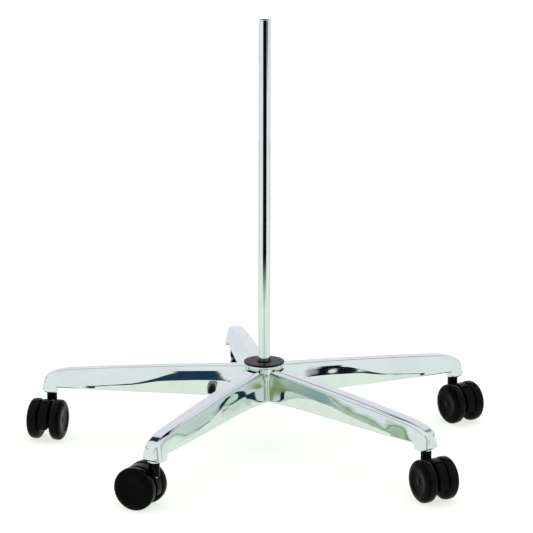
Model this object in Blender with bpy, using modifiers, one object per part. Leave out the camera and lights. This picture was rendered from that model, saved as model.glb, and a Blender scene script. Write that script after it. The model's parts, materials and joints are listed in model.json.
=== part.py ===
"""Rolling floor base: a five-arm chromed star on twin-wheel casters, with an upright tube.

Metres, +Z up, floor at z = 0. The origin is the middle of the footprint at floor level.
The star and the tube are built round the hub axis, and one empty then sets them in place.
"""
import math

import bmesh
import bpy
from mathutils import Matrix, Vector

# Upright tube
POST_DIAMETER = 0.016
POST_WALL = 0.0015
POST_TOP_HEIGHT = 0.574
POST_SEAT_DEPTH = 0.022

# Hub of the star: collar on top, tapered bore right through it
HUB_UNDERSIDE = 0.070
COLLAR_TOP = 0.1155
COLLAR_RADIUS = 0.0260
COLLAR_EDGE = 0.0008
COLLAR_GROOVE_DEPTH = 0.0006
COLLAR_GROOVE_DROP = 0.0020
HUB_BODY_STEP = 0.0015
HUB_BODY_RADIUS = COLLAR_RADIUS + HUB_BODY_STEP
HUB_BODY_DROP = 0.0100
COLLAR_FOOT_DROP = 0.0060
HUB_WALL = 0.0048
HUB_BORE_TAPER = 0.0010
HUB_BORE_TOP_RADIUS = COLLAR_RADIUS - HUB_WALL
HUB_BORE_FOOT_RADIUS = HUB_BORE_TOP_RADIUS - HUB_BORE_TAPER

# Star arms
ARM_COUNT = 5
FIRST_ARM_ANGLE = math.radians(26.3)
STEM_CIRCLE_RADIUS = 0.2915
NOSE_RADIUS = 0.0113
ARM_TOP_AT_HUB = 0.1122
ARM_TOP_AT_STEM = 0.0923
ARM_TOP_START_SLOPE = 0.054
ARM_TOP_FLAT_HALF = 0.0095
ARM_EDGE_ROUNDING = 0.0035
ARMS_CROSS_INSIDE_COLLAR = 0.0005
ARM_EDGE_HALF_AT_HUB = (COLLAR_RADIUS - ARMS_CROSS_INSIDE_COLLAR) * math.sin(math.pi / ARM_COUNT)
ARM_EDGE_ROUNDING_AT_HUB = ARM_EDGE_HALF_AT_HUB - ARM_TOP_FLAT_HALF
ARM_FOOT_HALF = 0.0133
ARM_FOOT_INSIDE_COLLAR = 0.0040
ARM_FOOT_HALF_AT_HUB = COLLAR_RADIUS - ARM_FOOT_INSIDE_COLLAR
ARM_FOOT_ROUNDING = 0.0024
ROUNDING_LIMIT = 0.6
ARM_ROOT_INSIDE_COLLAR = 0.0150
ARM_ROOT_RADIUS = COLLAR_RADIUS - ARM_ROOT_INSIDE_COLLAR
ARM_UNDERSIDE = 0.0698
FLARE_START_BEYOND_COLLAR = 0.0040
FLARE_START = COLLAR_RADIUS + FLARE_START_BEYOND_COLLAR
FLARE_END = 0.105
STATION_STAGGER = 0.0012
NOSE_DROOP_LENGTH = 0.040
NOSE_DROOP = 0.014
NOSE_UNDERSIDE = 0.0620
NOSE_LIFT = 0.0030
UNDERSIDE_STEP_LENGTH = 0.005
ARM_WALL = 0.0034
ARM_ROOF = 0.0045
ARM_RIB = 0.0040
POCKET_START_BEYOND_COLLAR = 0.0200
POCKET_START = COLLAR_RADIUS + POCKET_START_BEYOND_COLLAR
POCKET_DRAFT = 0.0006
POCKET_CORNER = 0.0020

# Caster sockets in the arm tips
SOCKET_UNDERSIDE = 0.0605
SOCKET_FOOT_RADIUS = 0.0084
SOCKET_RADIUS = 0.0090
SOCKET_STEP_REACH = 0.0105
SOCKET_BLEND_HEIGHT = 0.0060
SOCKET_BORE_RADIUS = 0.0061
SOCKET_DEPTH = 0.0220

# Where the underside starts to step down to the socket
STEP_START = STEM_CIRCLE_RADIUS - SOCKET_STEP_REACH

# Parts that hold the tube in the hub
CAP_OVERHANG = 0.0010
CAP_RADIUS = COLLAR_RADIUS + CAP_OVERHANG
CAP_THICKNESS = 0.0022
CAP_LIP_HEIGHT = 0.0012
CAP_LIP_WIDTH = 0.0011
ADAPTER_FOOT_RECESS = 0.0075
BOLT_DIAMETER = 0.008
BOLT_HEAD_ACROSS_FLATS = 0.013
BOLT_HEAD_HEIGHT = 0.0053
BOLT_REACH_IN_PLUG = 0.016
PLUG_LENGTH = 0.024
WASHER_RADIUS = 0.0150
WASHER_THICKNESS = 0.0025
SPRING_WASHER_RADIUS = 0.0072
SPRING_WASHER_THICKNESS = 0.0020
SPRING_WASHER_SPLIT = math.radians(24.0)

# Casters
WHEEL_RADIUS = 0.0275
WHEEL_INNER_OFFSET = 0.0068
WHEEL_OUTER_OFFSET = 0.0240
WHEEL_SHOULDER_DROP = 0.0118
WHEEL_SHOULDER_POWER = 3.3
WHEEL_FACE_RADIUS = 0.0190
WHEEL_FACE_RECESS = 0.0009
TREAD_SEAT_RADIUS = 0.0222
TREAD_INNER_OFFSET = 0.0086
TREAD_OUTER_OFFSET = 0.0200
CASTER_TRAIL = 0.0195
HOOD_RADIUS = 0.0268
HOOD_HALF_WIDTH = 0.0063
HOOD_EDGE_ROUNDING = 0.0012
HOOD_END_ANGLE = math.radians(-18.0)
AXLE_HOUSING_RADIUS = 0.0110
AXLE_HOUSING_START = math.radians(222.0)
AXLE_HOUSING_END = math.radians(318.0)
NECK_RADIUS = 0.0069
NECK_FOOT_HEIGHT = 0.0425
NECK_CLEARANCE = 0.0005
AXLE_DIAMETER = 0.006
AXLE_LENGTH = 0.0350
STEM_DIAMETER = 0.011
STEM_ROOT_DIAMETER = 0.008
STEM_ROOT_HEIGHT = 0.0340
STEM_END_GAP = 0.0016
STEM_CHAMFER = 0.0012
GRIP_GROOVE_DEPTH = 0.0009
GRIP_GROOVE_HEIGHT = 0.0034
GRIP_GROOVE_DROP = 0.0060
GRIP_RING_SPLIT = math.radians(60.0)

# Each caster: the arm it stands under and the way it trails, in plan
CASTERS = {
    "right": (0, math.radians(-58.0)),
    "back": (1, math.radians(-3.0)),
    "left": (2, math.radians(-104.0)),
    "front_left": (3, math.radians(155.0)),
    "front_right": (4, math.radians(-62.0)),
}

# Fits: gap between touching pieces, and how far a cutter runs past the face it cuts
GAP = 0.0003
THROUGH = 0.004
ROUND_STEPS = 32
WHEEL_STEPS = 20
PIN_STEPS = 12
SOCKET_STEPS = 16
SMOOTH_BELOW = math.radians(50.0)

# Colours: base colour, metallic, roughness
FINISHES = {
    "chrome": ((0.78, 0.81, 0.80, 1.0), 1.0, 0.07),
    "black_gloss": ((0.022, 0.016, 0.020, 1.0), 0.0, 0.12),
    "black_nylon": ((0.010, 0.010, 0.012, 1.0), 0.0, 0.28),
    "black_tread": ((0.012, 0.012, 0.014, 1.0), 0.0, 0.36),
    "zinc_steel": ((0.55, 0.55, 0.53, 1.0), 1.0, 0.32),
    "dark_steel": ((0.10, 0.10, 0.11, 1.0), 1.0, 0.40),
}


def clear_scene():
    for item in list(bpy.data.objects):
        bpy.data.objects.remove(item, do_unlink=True)


def new_collection(name):
    group = bpy.data.collections.new(name)
    bpy.context.scene.collection.children.link(group)
    return group


def make_finish(name):
    colour, metallic, roughness = FINISHES[name]
    finish = bpy.data.materials.new(name)
    finish.use_nodes = True
    shader = finish.node_tree.nodes["Principled BSDF"]
    shader.inputs["Base Color"].default_value = colour
    shader.inputs["Metallic"].default_value = metallic
    shader.inputs["Roughness"].default_value = roughness
    return finish


def add_object(name, mesh, parent=None, finish=None, place=(0.0, 0.0, 0.0), turn=(0.0, 0.0, 0.0)):
    """A visible part when it has a finish, and otherwise a hidden cutter or filler."""
    item = bpy.data.objects.new(name, mesh)
    if finish:
        mesh.materials.append(make_finish(finish))
        mesh.materials[0].name = name + "_finish"
        parts.objects.link(item)
    else:
        cutters.objects.link(item)
        item.display_type = "WIRE"
        item.hide_render = True
    item.parent = parent
    item.location = place
    item.rotation_euler = turn
    return item


def add_empty(name, parent=None, place=(0.0, 0.0, 0.0), turn=(0.0, 0.0, 0.0)):
    item = bpy.data.objects.new(name, None)
    cutters.objects.link(item)
    item.empty_display_size = 0.02
    item.parent = parent
    item.location = place
    item.rotation_euler = turn
    return item


def turned(name, outline, steps, closed=True, **where):
    """A turned piece: (radius, height) points, down the outer side first, and a Screw."""
    mesh = bpy.data.meshes.new(name)
    count = len(outline)
    edges = [(i, (i + 1) % count) for i in range(count if closed else count - 1)]
    mesh.from_pydata([(radius, 0.0, height) for radius, height in outline], edges, [])
    item = add_object(name, mesh, **where)
    screw = item.modifiers.new("turn", "SCREW")
    screw.steps = steps
    screw.render_steps = steps
    screw.use_merge_vertices = True
    screw.merge_threshold = 0.00001
    screw.use_smooth_shade = True
    return item


def smooth_rounds(mesh):
    mesh.shade_smooth()
    mesh.set_sharp_from_angle(angle=SMOOTH_BELOW)


def flat_outline(name, points, thickness):
    """A plate standing on its outline: a filled 2D curve, made a mesh with its caps welded."""
    curve = bpy.data.curves.new(name, "CURVE")
    curve.dimensions = "2D"
    curve.fill_mode = "BOTH"
    curve.extrude = thickness / 2
    spline = curve.splines.new("POLY")
    spline.points.add(len(points) - 1)
    for spot, (x, y) in zip(spline.points, points):
        spot.co = (x, y, 0.0, 1.0)
    spline.use_cyclic_u = True
    holder = bpy.data.objects.new(name + "_curve", curve)
    cutters.objects.link(holder)
    graph = bpy.context.evaluated_depsgraph_get()
    mesh = bpy.data.meshes.new_from_object(holder.evaluated_get(graph))
    bpy.data.objects.remove(holder, do_unlink=True)
    shape = bmesh.new()
    shape.from_mesh(mesh)
    bmesh.ops.remove_doubles(shape, verts=shape.verts, dist=0.000001)
    bmesh.ops.recalc_face_normals(shape, faces=shape.faces)
    shape.to_mesh(mesh)
    shape.free()
    smooth_rounds(mesh)
    return mesh


def between(start, end, share):
    return start + (end - start) * share


def arc(radius, start, end, steps, centre=(0.0, 0.0)):
    angles = [start + (end - start) * i / steps for i in range(steps + 1)]
    return [(centre[0] + radius * math.cos(a), centre[1] + radius * math.sin(a)) for a in angles]


def cylinder(name, radius, bottom, top, steps=PIN_STEPS, **where):
    shape = bmesh.new()
    bmesh.ops.create_cone(shape, cap_ends=True, segments=steps, radius1=radius, radius2=radius,
                          depth=top - bottom)
    bmesh.ops.translate(shape, verts=shape.verts, vec=(0.0, 0.0, (top + bottom) / 2))
    mesh = bpy.data.meshes.new(name)
    shape.to_mesh(mesh)
    shape.free()
    smooth_rounds(mesh)
    return add_object(name, mesh, **where)


def boolean(target, tool, operation):
    step = target.modifiers.new(tool.name, "BOOLEAN")
    step.operation = operation
    step.object = tool
    step.solver = "EXACT"


# Shape of one arm, from the hub axis outwards along x
def flare(x):
    """1 where the arms meet at the hub, easing to 0 along the arm."""
    share = (FLARE_END - x) / (FLARE_END - FLARE_START)
    return min(1.0, max(0.0, share)) ** 2


def arm_top(x):
    run = STEM_CIRCLE_RADIUS - COLLAR_RADIUS
    along = max(0.0, x - COLLAR_RADIUS)
    bow = ARM_TOP_AT_HUB - ARM_TOP_AT_STEM - ARM_TOP_START_SLOPE * run
    height = ARM_TOP_AT_HUB - ARM_TOP_START_SLOPE * along - bow * (along / run) ** 2
    into_nose = (x - (STEM_CIRCLE_RADIUS + NOSE_RADIUS - NOSE_DROOP_LENGTH)) / NOSE_DROOP_LENGTH
    into_nose = min(1.0, max(0.0, into_nose))
    return height - NOSE_DROOP * (1.0 - math.sqrt(1.0 - into_nose ** 2))


def past_stem(x):
    """0 up to the caster stem, rising to 1 at the tip of the nose."""
    return min(1.0, max(0.0, (x - STEM_CIRCLE_RADIUS) / NOSE_RADIUS))


def arm_underside(x):
    share = min(1.0, max(0.0, (x - STEP_START) / UNDERSIDE_STEP_LENGTH))
    eased = (1.0 - math.cos(math.pi * share)) / 2
    height = ARM_UNDERSIDE + (NOSE_UNDERSIDE - ARM_UNDERSIDE) * eased
    return height + NOSE_LIFT * (1.0 - math.sqrt(1.0 - past_stem(x) ** 2))


def edge_rounding(x):
    return ARM_EDGE_ROUNDING + (ARM_EDGE_ROUNDING_AT_HUB - ARM_EDGE_ROUNDING) * flare(x)


def foot_half_width(x):
    return ARM_FOOT_HALF + (ARM_FOOT_HALF_AT_HUB - ARM_FOOT_HALF) * flare(x)


def arm_section(x):
    """Closed ring of points across the arm at x: flat top, rounded edges, flared sides."""
    narrowing = math.sqrt(1.0 - past_stem(x) ** 2)
    edge_half = (ARM_TOP_FLAT_HALF + edge_rounding(x)) * narrowing
    foot_half = foot_half_width(x) * narrowing
    rounding = min(edge_rounding(x), ROUNDING_LIMIT * edge_half)
    foot_rounding = min(ARM_FOOT_ROUNDING, ROUNDING_LIMIT * foot_half)
    top = arm_top(x)
    underside = arm_underside(x)
    edge = arc(rounding, math.pi / 2, 0.0, 2, (edge_half - rounding, top - rounding))
    foot = arc(foot_rounding, 0.0, -math.pi / 2, 1, (foot_half - foot_rounding,
                                                     underside + foot_rounding))
    side = edge + foot
    return [(x, y, z) for y, z in side] + [(x, -y, z) for y, z in reversed(side)]


def loft(name, rings, **where):
    """Closed skin through rings of as many points each, with a flat face on both ends."""
    shape = bmesh.new()
    loops = [[shape.verts.new(point) for point in ring] for ring in rings]
    count = len(rings[0])
    for near, far in zip(loops, loops[1:]):
        for i in range(count):
            j = (i + 1) % count
            shape.faces.new((near[i], near[j], far[j], far[i]))
    shape.faces.new(loops[0][::-1])
    shape.faces.new(loops[-1])
    bmesh.ops.recalc_face_normals(shape, faces=shape.faces)
    mesh = bpy.data.meshes.new(name)
    shape.to_mesh(mesh)
    shape.free()
    smooth_rounds(mesh)
    return add_object(name, mesh, **where)


def arm_stations(index):
    """Distances from the hub axis where an arm's sections stand, closer where it changes.

    Neighbours' sections near the hub are staggered, so that their edges cross and don't touch.
    """
    stagger = STATION_STAGGER * index
    flared = [FLARE_START + stagger / 2]
    flared += [between(FLARE_START, FLARE_END, share) + stagger for share in (0.2, 0.4, 0.65)]
    flared.append(FLARE_END)
    straight = [between(FLARE_END, STEP_START, share) for share in (0.5, 1.0)]
    stepped = [STEP_START + UNDERSIDE_STEP_LENGTH * share for share in (0.33, 0.67, 1.0)]
    nose = [STEM_CIRCLE_RADIUS + NOSE_RADIUS * math.sin(math.radians(a)) for a in (0, 25, 46, 63, 77, 87)]
    return [ARM_ROOT_RADIUS] + flared + straight + stepped + nose


def arm_pocket(name, start, end, **where):
    """Hollow under the arm, open at the bottom, between two distances from the hub axis."""
    rings = []
    for share in (0.0, 0.33, 0.67, 1.0):
        x = between(start, end, share)
        top_half = ARM_TOP_FLAT_HALF + edge_rounding(x) - ARM_WALL - POCKET_DRAFT
        foot_half = foot_half_width(x) - ARM_WALL
        roof = arm_top(x) - ARM_ROOF
        side = [(top_half - POCKET_CORNER, roof), (top_half, roof - POCKET_CORNER),
                (foot_half, ARM_UNDERSIDE - THROUGH)]
        rings.append([(x, y, z) for y, z in side] + [(x, -y, z) for y, z in reversed(side)])
    return loft(name, rings, **where)


def build_star(stand):
    groove_top = COLLAR_TOP - COLLAR_GROOVE_DROP
    groove_foot = groove_top - 2 * COLLAR_GROOVE_DEPTH
    outline = [
        (0.0, COLLAR_TOP),
        (COLLAR_RADIUS - COLLAR_EDGE, COLLAR_TOP),
        (COLLAR_RADIUS, COLLAR_TOP - COLLAR_EDGE),
        (COLLAR_RADIUS, groove_top),
        (COLLAR_RADIUS - COLLAR_GROOVE_DEPTH, groove_top - COLLAR_GROOVE_DEPTH),
        (COLLAR_RADIUS, groove_foot),
        (COLLAR_RADIUS, ARM_TOP_AT_HUB - COLLAR_FOOT_DROP),
        (HUB_BODY_RADIUS, ARM_TOP_AT_HUB - HUB_BODY_DROP),
        (HUB_BODY_RADIUS, HUB_UNDERSIDE),
        (0.0, HUB_UNDERSIDE),
    ]
    star = turned("star_base", outline, ROUND_STEPS, closed=False, parent=stand, finish="chrome")
    rib_middle = (POCKET_START + STEP_START) / 2
    pockets = [(POCKET_START, rib_middle - ARM_RIB / 2), (rib_middle + ARM_RIB / 2, STEP_START)]
    boss_top = ARM_TOP_AT_STEM - NOSE_DROOP / 2 - ARM_ROOF
    boss = [
        (0.0, boss_top), (SOCKET_RADIUS, boss_top), (SOCKET_RADIUS, NOSE_UNDERSIDE + SOCKET_BLEND_HEIGHT),
        (SOCKET_FOOT_RADIUS, NOSE_UNDERSIDE), (SOCKET_FOOT_RADIUS, SOCKET_UNDERSIDE),
        (0.0, SOCKET_UNDERSIDE),
    ]
    joined, cut = [], []
    for index in range(ARM_COUNT):
        turn = (0.0, 0.0, FIRST_ARM_ANGLE + index * math.tau / ARM_COUNT)
        tag = str(index + 1)
        rings = [arm_section(x) for x in arm_stations(index)]
        joined.append(loft("arm_" + tag, rings, parent=stand, turn=turn))
        tip = Matrix.Rotation(turn[2], 3, "Z") @ Vector((STEM_CIRCLE_RADIUS, 0.0, 0.0))
        joined.append(turned("boss_" + tag, boss, PIN_STEPS, closed=False, parent=stand, place=tip))
        for number, (start, end) in enumerate(pockets, 1):
            cut.append(arm_pocket("pocket_" + tag + "_" + str(number), start, end, parent=stand, turn=turn))
        cut.append(cylinder("socket_" + tag, SOCKET_BORE_RADIUS, SOCKET_UNDERSIDE - THROUGH,
                            SOCKET_UNDERSIDE + SOCKET_DEPTH, steps=SOCKET_STEPS, parent=stand, place=tip))
    slope = (HUB_BORE_TOP_RADIUS - HUB_BORE_FOOT_RADIUS) / (COLLAR_TOP - HUB_UNDERSIDE)
    bore = [
        (0.0, COLLAR_TOP + THROUGH), (HUB_BORE_TOP_RADIUS + slope * THROUGH, COLLAR_TOP + THROUGH),
        (HUB_BORE_FOOT_RADIUS - slope * THROUGH, HUB_UNDERSIDE - THROUGH),
        (0.0, HUB_UNDERSIDE - THROUGH),
    ]
    cut.append(turned("hub_bore", bore, ROUND_STEPS, closed=False, parent=stand))
    for tool in joined:
        boolean(star, tool, "UNION")
    for tool in cut:
        boolean(star, tool, "DIFFERENCE")
    return star


def build_post(stand):
    outer = POST_DIAMETER / 2
    bore = outer - POST_WALL
    seat = COLLAR_TOP - POST_SEAT_DEPTH
    tube = [(outer, POST_TOP_HEIGHT), (outer, seat), (bore, seat), (bore, POST_TOP_HEIGHT)]
    turned("post_tube", tube, ROUND_STEPS, parent=stand, finish="chrome")

    hole = BOLT_DIAMETER / 2 + GAP
    plug = [(bore - GAP, seat + PLUG_LENGTH), (bore - GAP, seat), (hole, seat), (hole, seat + PLUG_LENGTH)]
    turned("post_plug", plug, PIN_STEPS, parent=stand, finish="zinc_steel")

    lip = outer + GAP + CAP_LIP_WIDTH
    foot = COLLAR_TOP + GAP
    top = foot + CAP_THICKNESS
    bevel = CAP_THICKNESS / 4
    cap = [
        (lip, top + CAP_LIP_HEIGHT), (lip, top), (CAP_RADIUS - bevel, top), (CAP_RADIUS, top - bevel),
        (CAP_RADIUS, foot + bevel), (CAP_RADIUS - bevel, foot), (outer + GAP, foot),
        (outer + GAP, top + CAP_LIP_HEIGHT),
    ]
    turned("hub_cap", cap, ROUND_STEPS, parent=stand, finish="black_gloss")

    adapter_foot = HUB_UNDERSIDE + ADAPTER_FOOT_RECESS
    taper = (HUB_BORE_TOP_RADIUS - HUB_BORE_FOOT_RADIUS) / (COLLAR_TOP - HUB_UNDERSIDE)
    foot_radius = HUB_BORE_FOOT_RADIUS + taper * ADAPTER_FOOT_RECESS - GAP
    adapter = [
        (HUB_BORE_TOP_RADIUS - GAP, COLLAR_TOP), (foot_radius, adapter_foot), (hole, adapter_foot),
        (hole, seat - GAP), (outer + GAP, seat - GAP), (outer + GAP, COLLAR_TOP),
    ]
    turned("hub_adapter", adapter, ROUND_STEPS, parent=stand, finish="black_nylon")

    washer_top = adapter_foot - GAP
    washer_foot = washer_top - WASHER_THICKNESS
    washer = [(WASHER_RADIUS, washer_top), (WASHER_RADIUS, washer_foot), (hole, washer_foot),
              (hole, washer_top)]
    turned("hub_washer", washer, WHEEL_STEPS, parent=stand, finish="zinc_steel")

    spring_top = washer_foot - GAP
    split_ring("spring_washer", hole, SPRING_WASHER_RADIUS, SPRING_WASHER_THICKNESS,
               SPRING_WASHER_SPLIT, parent=stand, finish="dark_steel",
               place=(0.0, 0.0, spring_top - SPRING_WASHER_THICKNESS / 2))

    head_top = spring_top - SPRING_WASHER_THICKNESS - GAP
    head_foot = head_top - BOLT_HEAD_HEIGHT
    corner = BOLT_HEAD_ACROSS_FLATS / 2 / math.cos(math.pi / 6)
    bolt = cylinder("post_bolt", corner, head_foot, head_top, steps=6, parent=stand, finish="zinc_steel")
    shank = cylinder("post_bolt_shank", BOLT_DIAMETER / 2, head_foot + BOLT_HEAD_HEIGHT / 2,
                     seat + BOLT_REACH_IN_PLUG, parent=stand)
    boolean(bolt, shank, "UNION")


def split_ring(name, inner, outer, thickness, split, **where):
    """Flat ring with a slot sawn through it, as a spring washer or a grip ring has."""
    outline = arc(outer, split / 2, math.tau - split / 2, 12)
    outline += arc(inner, math.tau - split / 2, split / 2, 12)
    return add_object(name, flat_outline(name, outline, thickness), **where)


# Casters: x is the way the caster trails, y its axle, and the swivel axis is at the origin
def tyre_radius(offset):
    """Radius of the fat rounded wheel at a distance from the caster's middle plane."""
    middle = (WHEEL_INNER_OFFSET + WHEEL_OUTER_OFFSET) / 2
    half = (WHEEL_OUTER_OFFSET - WHEEL_INNER_OFFSET) / 2
    share = min(1.0, abs(offset - middle) / half)
    return WHEEL_RADIUS - WHEEL_SHOULDER_DROP * (1.0 - math.sqrt(1.0 - share ** WHEEL_SHOULDER_POWER))


def wheel_outline():
    bore = AXLE_DIAMETER / 2 + GAP
    bore_end = AXLE_LENGTH / 2 + GAP
    face = WHEEL_OUTER_OFFSET - WHEEL_FACE_RECESS
    seat_outer = TREAD_OUTER_OFFSET + GAP
    shoulders = [between(WHEEL_OUTER_OFFSET, seat_outer, share) for share in (0.15, 1.0)]
    outline = [(0.0, face), (WHEEL_FACE_RADIUS - WHEEL_FACE_RECESS, face)]
    outline += [(max(WHEEL_FACE_RADIUS, tyre_radius(s)), s) for s in shoulders]
    outline += [
        (TREAD_SEAT_RADIUS, seat_outer), (TREAD_SEAT_RADIUS, TREAD_INNER_OFFSET),
        (tyre_radius(between(WHEEL_INNER_OFFSET, TREAD_INNER_OFFSET, 0.2)), WHEEL_INNER_OFFSET),
        (bore, WHEEL_INNER_OFFSET), (bore, bore_end), (0.0, bore_end),
    ]
    return outline


def tread_outline():
    inner = TREAD_SEAT_RADIUS + GAP
    sides = [between(TREAD_OUTER_OFFSET, TREAD_INNER_OFFSET, share) for share in (0.0, 0.25, 0.5, 0.75, 1.0)]
    outline = [(max(tyre_radius(s), inner + GAP), s) for s in sides]
    return outline + [(inner, TREAD_INNER_OFFSET), (inner, TREAD_OUTER_OFFSET)]


def hood_mesh(name):
    """Side plate of the hood: round above and in front, an arch below to the axle housing."""
    middle = (CASTER_TRAIL, WHEEL_RADIUS)
    outline = arc(HOOD_RADIUS, HOOD_END_ANGLE, math.pi - HOOD_END_ANGLE, 14, middle)
    outline += arc(AXLE_HOUSING_RADIUS, AXLE_HOUSING_START, AXLE_HOUSING_END, 3, middle)
    mesh = flat_outline(name, outline, 2 * HOOD_HALF_WIDTH)
    mesh.transform(Matrix.Rotation(math.pi / 2, 4, "X"))
    return mesh


def build_caster(stand, name, arm_index, trail_angle):
    arm_angle = FIRST_ARM_ANGLE + arm_index * math.tau / ARM_COUNT
    tip = (STEM_CIRCLE_RADIUS * math.cos(arm_angle), STEM_CIRCLE_RADIUS * math.sin(arm_angle), 0.0)
    swivel = add_empty(name + "_swivel_axis", stand, tip, (0.0, 0.0, trail_angle))
    roll = add_empty(name + "_roll_axis", swivel, (CASTER_TRAIL, 0.0, WHEEL_RADIUS))
    neck_top = SOCKET_UNDERSIDE - NECK_CLEARANCE
    root = STEM_ROOT_DIAMETER / 2
    bore = AXLE_DIAMETER / 2 + GAP

    hood = add_object(name + "_hood", hood_mesh(name + "_hood"), parent=swivel, finish="black_nylon")
    bevel = hood.modifiers.new("edges", "BEVEL")
    bevel.width = HOOD_EDGE_ROUNDING
    bevel.segments = 1
    bevel.limit_method = "ANGLE"
    bevel.angle_limit = SMOOTH_BELOW
    boolean(hood, cylinder(name + "_neck", NECK_RADIUS, NECK_FOOT_HEIGHT, neck_top, parent=swivel), "UNION")
    boolean(hood, cylinder(name + "_stem_hole", root + GAP, STEM_ROOT_HEIGHT - GAP,
                           neck_top + THROUGH, parent=swivel), "DIFFERENCE")
    boolean(hood, cylinder(name + "_axle_hole", bore, -2 * HOOD_HALF_WIDTH, 2 * HOOD_HALF_WIDTH,
                           parent=roll, turn=(math.pi / 2, 0.0, 0.0)), "DIFFERENCE")

    radius = STEM_DIAMETER / 2
    top = SOCKET_UNDERSIDE + SOCKET_DEPTH - STEM_END_GAP
    groove_top = top - GRIP_GROOVE_DROP
    groove_foot = groove_top - GRIP_GROOVE_HEIGHT
    groove = radius - GRIP_GROOVE_DEPTH
    stem = [
        (0.0, top), (radius - STEM_CHAMFER, top), (radius, top - STEM_CHAMFER), (radius, groove_top),
        (groove, groove_top), (groove, groove_foot), (radius, groove_foot), (radius, neck_top + GAP),
        (root, neck_top + GAP), (root, STEM_ROOT_HEIGHT), (0.0, STEM_ROOT_HEIGHT),
    ]
    turned(name + "_stem", stem, PIN_STEPS, closed=False, parent=swivel, finish="zinc_steel")
    split_ring(name + "_grip_ring", groove + GAP, SOCKET_BORE_RADIUS - GAP, GRIP_GROOVE_HEIGHT - 2 * GAP,
               GRIP_RING_SPLIT, parent=swivel, finish="dark_steel",
               place=(0.0, 0.0, (groove_top + groove_foot) / 2))

    cylinder(name + "_axle", AXLE_DIAMETER / 2, -AXLE_LENGTH / 2, AXLE_LENGTH / 2, parent=roll,
             finish="zinc_steel", turn=(math.pi / 2, 0.0, 0.0))
    for side, tilt in (("a", -math.pi / 2), ("b", math.pi / 2)):
        turned(name + "_wheel_" + side, wheel_outline(), WHEEL_STEPS, closed=False, parent=roll,
               finish="black_nylon", turn=(tilt, 0.0, 0.0))
        turned(name + "_tread_" + side, tread_outline(), WHEEL_STEPS, parent=roll,
               finish="black_tread", turn=(tilt, 0.0, 0.0))


def footprint_middle():
    """Middle of the box round the five casters and arm tips, seen from the hub axis."""
    spans = []
    for arm_index, trail_angle in CASTERS.values():
        arm_angle = FIRST_ARM_ANGLE + arm_index * math.tau / ARM_COUNT
        stem = Vector((math.cos(arm_angle), math.sin(arm_angle))) * STEM_CIRCLE_RADIUS
        trail = Vector((math.cos(trail_angle), math.sin(trail_angle)))
        wheel = stem + trail * CASTER_TRAIL
        for radius, offset in wheel_outline()[2:-3] + tread_outline():
            reach = Vector((abs(trail.x) * radius + abs(trail.y) * offset,
                            abs(trail.y) * radius + abs(trail.x) * offset))
            spans += [wheel - reach, wheel + reach]
        nose = Vector((NOSE_RADIUS, NOSE_RADIUS))
        spans += [stem - nose, stem + nose]
    low = [min(point[axis] for point in spans) for axis in (0, 1)]
    high = [max(point[axis] for point in spans) for axis in (0, 1)]
    return (low[0] + high[0]) / 2, (low[1] + high[1]) / 2


clear_scene()
parts = new_collection("rolling_floor_base")
cutters = new_collection("cutters")
middle_x, middle_y = footprint_middle()
stand = add_empty("stand_axis", place=(-middle_x, -middle_y, 0.0))
build_star(stand)
build_post(stand)
for caster_name, (arm_index, trail_angle) in CASTERS.items():
    build_caster(stand, caster_name + "_caster", arm_index, trail_angle)
print("hub axis at x %.4f, y %.4f" % (-middle_x, -middle_y))
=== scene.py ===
# %% [markdown]
# # A movable floor base, dressed around its engineering model
# The object is the rolling foot of a lamp or screen stand: a bright star of five arms on twin-wheel
# casters, with one upright tube. The solids come from a packed engineering model. This lesson gives
# them finer skins and real finishes, one step at a time, and every new piece rides on the body of
# the solid that it stands for, so that the casters still swivel and roll.

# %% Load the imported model
import json
import math

import bmesh
import bpy
from mathutils import Matrix, Vector


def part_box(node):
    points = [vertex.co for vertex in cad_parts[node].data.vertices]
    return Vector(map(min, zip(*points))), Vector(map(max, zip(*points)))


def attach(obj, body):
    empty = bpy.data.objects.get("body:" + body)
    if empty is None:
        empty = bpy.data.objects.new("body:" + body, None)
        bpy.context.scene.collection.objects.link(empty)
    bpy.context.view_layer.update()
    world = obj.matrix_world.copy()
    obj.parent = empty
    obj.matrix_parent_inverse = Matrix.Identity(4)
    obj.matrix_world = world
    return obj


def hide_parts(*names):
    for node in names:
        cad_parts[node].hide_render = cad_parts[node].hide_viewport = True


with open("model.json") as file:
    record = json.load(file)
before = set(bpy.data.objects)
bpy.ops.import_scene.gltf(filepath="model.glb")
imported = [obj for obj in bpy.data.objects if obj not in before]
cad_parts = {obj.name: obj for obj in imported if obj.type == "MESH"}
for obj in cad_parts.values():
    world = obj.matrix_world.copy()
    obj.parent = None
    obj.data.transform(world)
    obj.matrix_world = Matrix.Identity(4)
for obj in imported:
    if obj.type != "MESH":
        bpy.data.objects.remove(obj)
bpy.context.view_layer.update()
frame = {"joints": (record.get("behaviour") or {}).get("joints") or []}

# %% [markdown]
# ## Where things are
# Nothing here is placed by eye. The tube's box gives the hub axis. Each caster has three joints: its
# swivel gives the stem axis, and the wheels' joint gives the axle. Reading these from the frame,
# and not typing them in again, keeps the skins on the solids if the model is packed again.

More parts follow.
